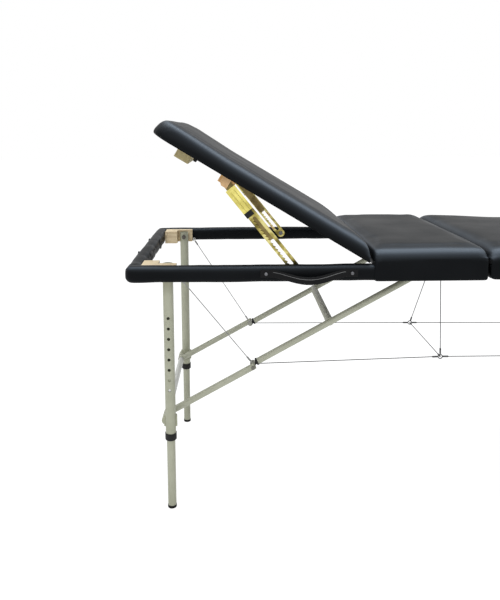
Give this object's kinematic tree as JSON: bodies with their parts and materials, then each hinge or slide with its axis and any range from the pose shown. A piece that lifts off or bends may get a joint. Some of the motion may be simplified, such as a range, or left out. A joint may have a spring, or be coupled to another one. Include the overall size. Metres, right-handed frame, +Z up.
{
  "type": "folding massage table",
  "caption": "Padded portable treatment couch that folds in half like a case, with a lift-up backrest on ratchet stays, folding braced legs and cable bracing.",
  "frame": {"origin": "on the floor, under the middle of the centre fold", "axes": "+X along the table to the foot end, +Y across to the side without handles, +Z up"},
  "size_m": [1.862, 0.6775, 1.0648],
  "materials": {
    "black_vinyl": "satin",
    "plywood": "matte",
    "light_wood": "matte",
    "leg_paint": "satin",
    "brace_paint": "satin",
    "black_plastic": "matte",
    "black_rubber": "matte",
    "yellow_zinc": "satin",
    "bright_steel": "satin",
    "cable_steel": "satin",
    "strap_webbing": "matte"
  },
  "bodies": {
    "head_frame": {"head_rails": "black_vinyl", "headrest_bushes": "black_plastic", "mid_board": "plywood", "mid_pad": "black_vinyl", "mid_side_covers": "black_vinyl", "head_hinge_leaves": "bright_steel", "hinge_pins": "bright_steel", "head_fasteners": "bright_steel", "head_handle": "strap_webbing", "head_cable_eyes": "bright_steel", "head_cables": "cable_steel", "head_leg_blocks": "light_wood", "head_brace_brackets": "bright_steel"},
    "backrest": {"backrest_board": "plywood", "backrest_pad": "black_vinyl", "backrest_edge_band": "black_vinyl", "backrest_batten": "light_wood", "backrest_hinge_leaves": "bright_steel", "stay_brackets": "yellow_zinc", "stay_blocks": "light_wood"},
    "stay_bar_pair": {"stay_bars": "yellow_zinc"},
    "stay_arm_pair": {"stay_arms": "yellow_zinc", "stay_collars": "black_plastic"},
    "foot_frame": {"foot_rails": "black_vinyl", "foot_board": "plywood", "foot_pad": "black_vinyl", "foot_side_covers": "black_vinyl", "foot_hinge_leaves": "bright_steel", "foot_fasteners": "bright_steel", "foot_handle": "strap_webbing", "foot_cable_eyes": "bright_steel", "foot_cables": "cable_steel", "foot_leg_blocks": "light_wood", "foot_brace_brackets": "bright_steel"},
    "head_legs": {"head_leg_tubes": "leg_paint", "head_leg_crossbar": "brace_paint", "head_leg_fittings": "black_plastic"},
    "head_lower_brace_pair": {"head_lower_braces": "brace_paint", "head_knee_bolts": "bright_steel"},
    "head_upper_brace_pair": {"head_upper_braces": "brace_paint", "head_knee_knuckles": "black_plastic"},
    "head_near_extension": {"head_near_lower_leg": "leg_paint", "head_near_foot_cap": "black_rubber"},
    "head_near_button": {"head_near_snap_button": "bright_steel"},
    "head_far_extension": {"head_far_lower_leg": "leg_paint", "head_far_foot_cap": "black_rubber"},
    "head_far_button": {"head_far_snap_button": "bright_steel"},
    "foot_legs": {"foot_leg_tubes": "leg_paint", "foot_leg_crossbar": "brace_paint", "foot_leg_fittings": "black_plastic"},
    "foot_lower_brace_pair": {"foot_lower_braces": "brace_paint", "foot_knee_bolts": "bright_steel"},
    "foot_upper_brace_pair": {"foot_upper_braces": "brace_paint", "foot_knee_knuckles": "black_plastic"},
    "foot_near_extension": {"foot_near_lower_leg": "leg_paint", "foot_near_foot_cap": "black_rubber"},
    "foot_near_button": {"foot_near_snap_button": "bright_steel"},
    "foot_far_extension": {"foot_far_lower_leg": "leg_paint", "foot_far_foot_cap": "black_rubber"},
    "foot_far_button": {"foot_far_snap_button": "bright_steel"}
  },
  "joints": [
    {"name": "centre_fold", "type": "hinge", "parent": "head_frame", "child": "foot_frame", "pos_m": [0, 0, 0.6475], "axis": [0, 1, 0], "range_deg": [0, 180], "deforming": ["head_cables", "foot_cables"]},
    {"name": "backrest_tilt", "type": "hinge", "parent": "head_frame", "child": "backrest", "pos_m": [-0.302, 0, 0.696], "axis": [0, 1, 0], "range_deg": [-31.2, 8.8]},
    {"name": "stay_bar_turn", "type": "hinge", "parent": "head_frame", "child": "stay_bar_pair", "pos_m": [-0.493, 0, 0.677], "axis": [0, 1, 0], "range_deg": [-50.6, 14.4]},
    {"name": "stay_arm_turn", "type": "hinge", "parent": "backrest", "child": "stay_arm_pair", "pos_m": [-0.6733, 0, 0.90333], "axis": [0, 1, 0], "range_deg": [-19.4, 5.6]},
    {"name": "head_leg_fold", "type": "hinge", "parent": "head_frame", "child": "head_legs", "pos_m": [-0.831, 0, 0.673], "axis": [0, -1, 0], "range_deg": [0, 90.2]},
    {"name": "head_lower_brace_fold", "type": "hinge", "parent": "head_legs", "child": "head_lower_brace_pair", "pos_m": [-0.844, 0, 0.25], "axis": [0, -1, 0], "range_deg": [0, 57.1]},
    {"name": "head_upper_brace_fold", "type": "hinge", "parent": "head_frame", "child": "head_upper_brace_pair", "pos_m": [-0.061, 0, 0.6805], "axis": [0, 1, 0], "range_deg": [0, 29]},
    {"name": "head_near_extension_slide", "type": "slide", "parent": "head_legs", "child": "head_near_extension", "axis": [0, 0, -1], "range_m": [-0.1716, 0]},
    {"name": "head_near_button_press", "type": "slide", "parent": "head_near_extension", "child": "head_near_button", "axis": [0, 1, 0], "range_m": [0, 0.004], "stiffness_N_per_m": 500},
    {"name": "head_far_extension_slide", "type": "slide", "parent": "head_legs", "child": "head_far_extension", "axis": [0, 0, -1], "range_m": [-0.1716, 0]},
    {"name": "head_far_button_press", "type": "slide", "parent": "head_far_extension", "child": "head_far_button", "axis": [0, -1, 0], "range_m": [0, 0.004], "stiffness_N_per_m": 500},
    {"name": "foot_leg_fold", "type": "hinge", "parent": "foot_frame", "child": "foot_legs", "pos_m": [0.831, 0, 0.673], "axis": [0, 1, 0], "range_deg": [0, 90.2]},
    {"name": "foot_lower_brace_fold", "type": "hinge", "parent": "foot_legs", "child": "foot_lower_brace_pair", "pos_m": [0.844, 0, 0.25], "axis": [0, 1, 0], "range_deg": [0, 57.1]},
    {"name": "foot_upper_brace_fold", "type": "hinge", "parent": "foot_frame", "child": "foot_upper_brace_pair", "pos_m": [0.061, 0, 0.6805], "axis": [0, -1, 0], "range_deg": [0, 29]},
    {"name": "foot_near_extension_slide", "type": "slide", "parent": "foot_legs", "child": "foot_near_extension", "axis": [0, 0, -1], "range_m": [-0.1716, 0]},
    {"name": "foot_near_button_press", "type": "slide", "parent": "foot_near_extension", "child": "foot_near_button", "axis": [0, 1, 0], "range_m": [0, 0.004], "stiffness_N_per_m": 500},
    {"name": "foot_far_extension_slide", "type": "slide", "parent": "foot_legs", "child": "foot_far_extension", "axis": [0, 0, -1], "range_m": [-0.1716, 0]},
    {"name": "foot_far_button_press", "type": "slide", "parent": "foot_far_extension", "child": "foot_far_button", "axis": [0, -1, 0], "range_m": [0, 0.004], "stiffness_N_per_m": 500}
  ],
  "couplings": [
    {"joint": "stay_bar_turn", "follows": "backrest_tilt", "ratio": 1.6179},
    {"joint": "stay_arm_turn", "follows": "backrest_tilt", "ratio": 0.61792},
    {"joint": "head_leg_fold", "follows": "centre_fold", "ratio": 0.5},
    {"joint": "head_lower_brace_fold", "follows": "centre_fold", "ratio": 0.31612},
    {"joint": "head_upper_brace_fold", "follows": "centre_fold", "ratio": 0.16001},
    {"joint": "foot_leg_fold", "follows": "centre_fold", "ratio": 0.5},
    {"joint": "foot_lower_brace_fold", "follows": "centre_fold", "ratio": 0.31612},
    {"joint": "foot_upper_brace_fold", "follows": "centre_fold", "ratio": 0.16001}
  ]
}
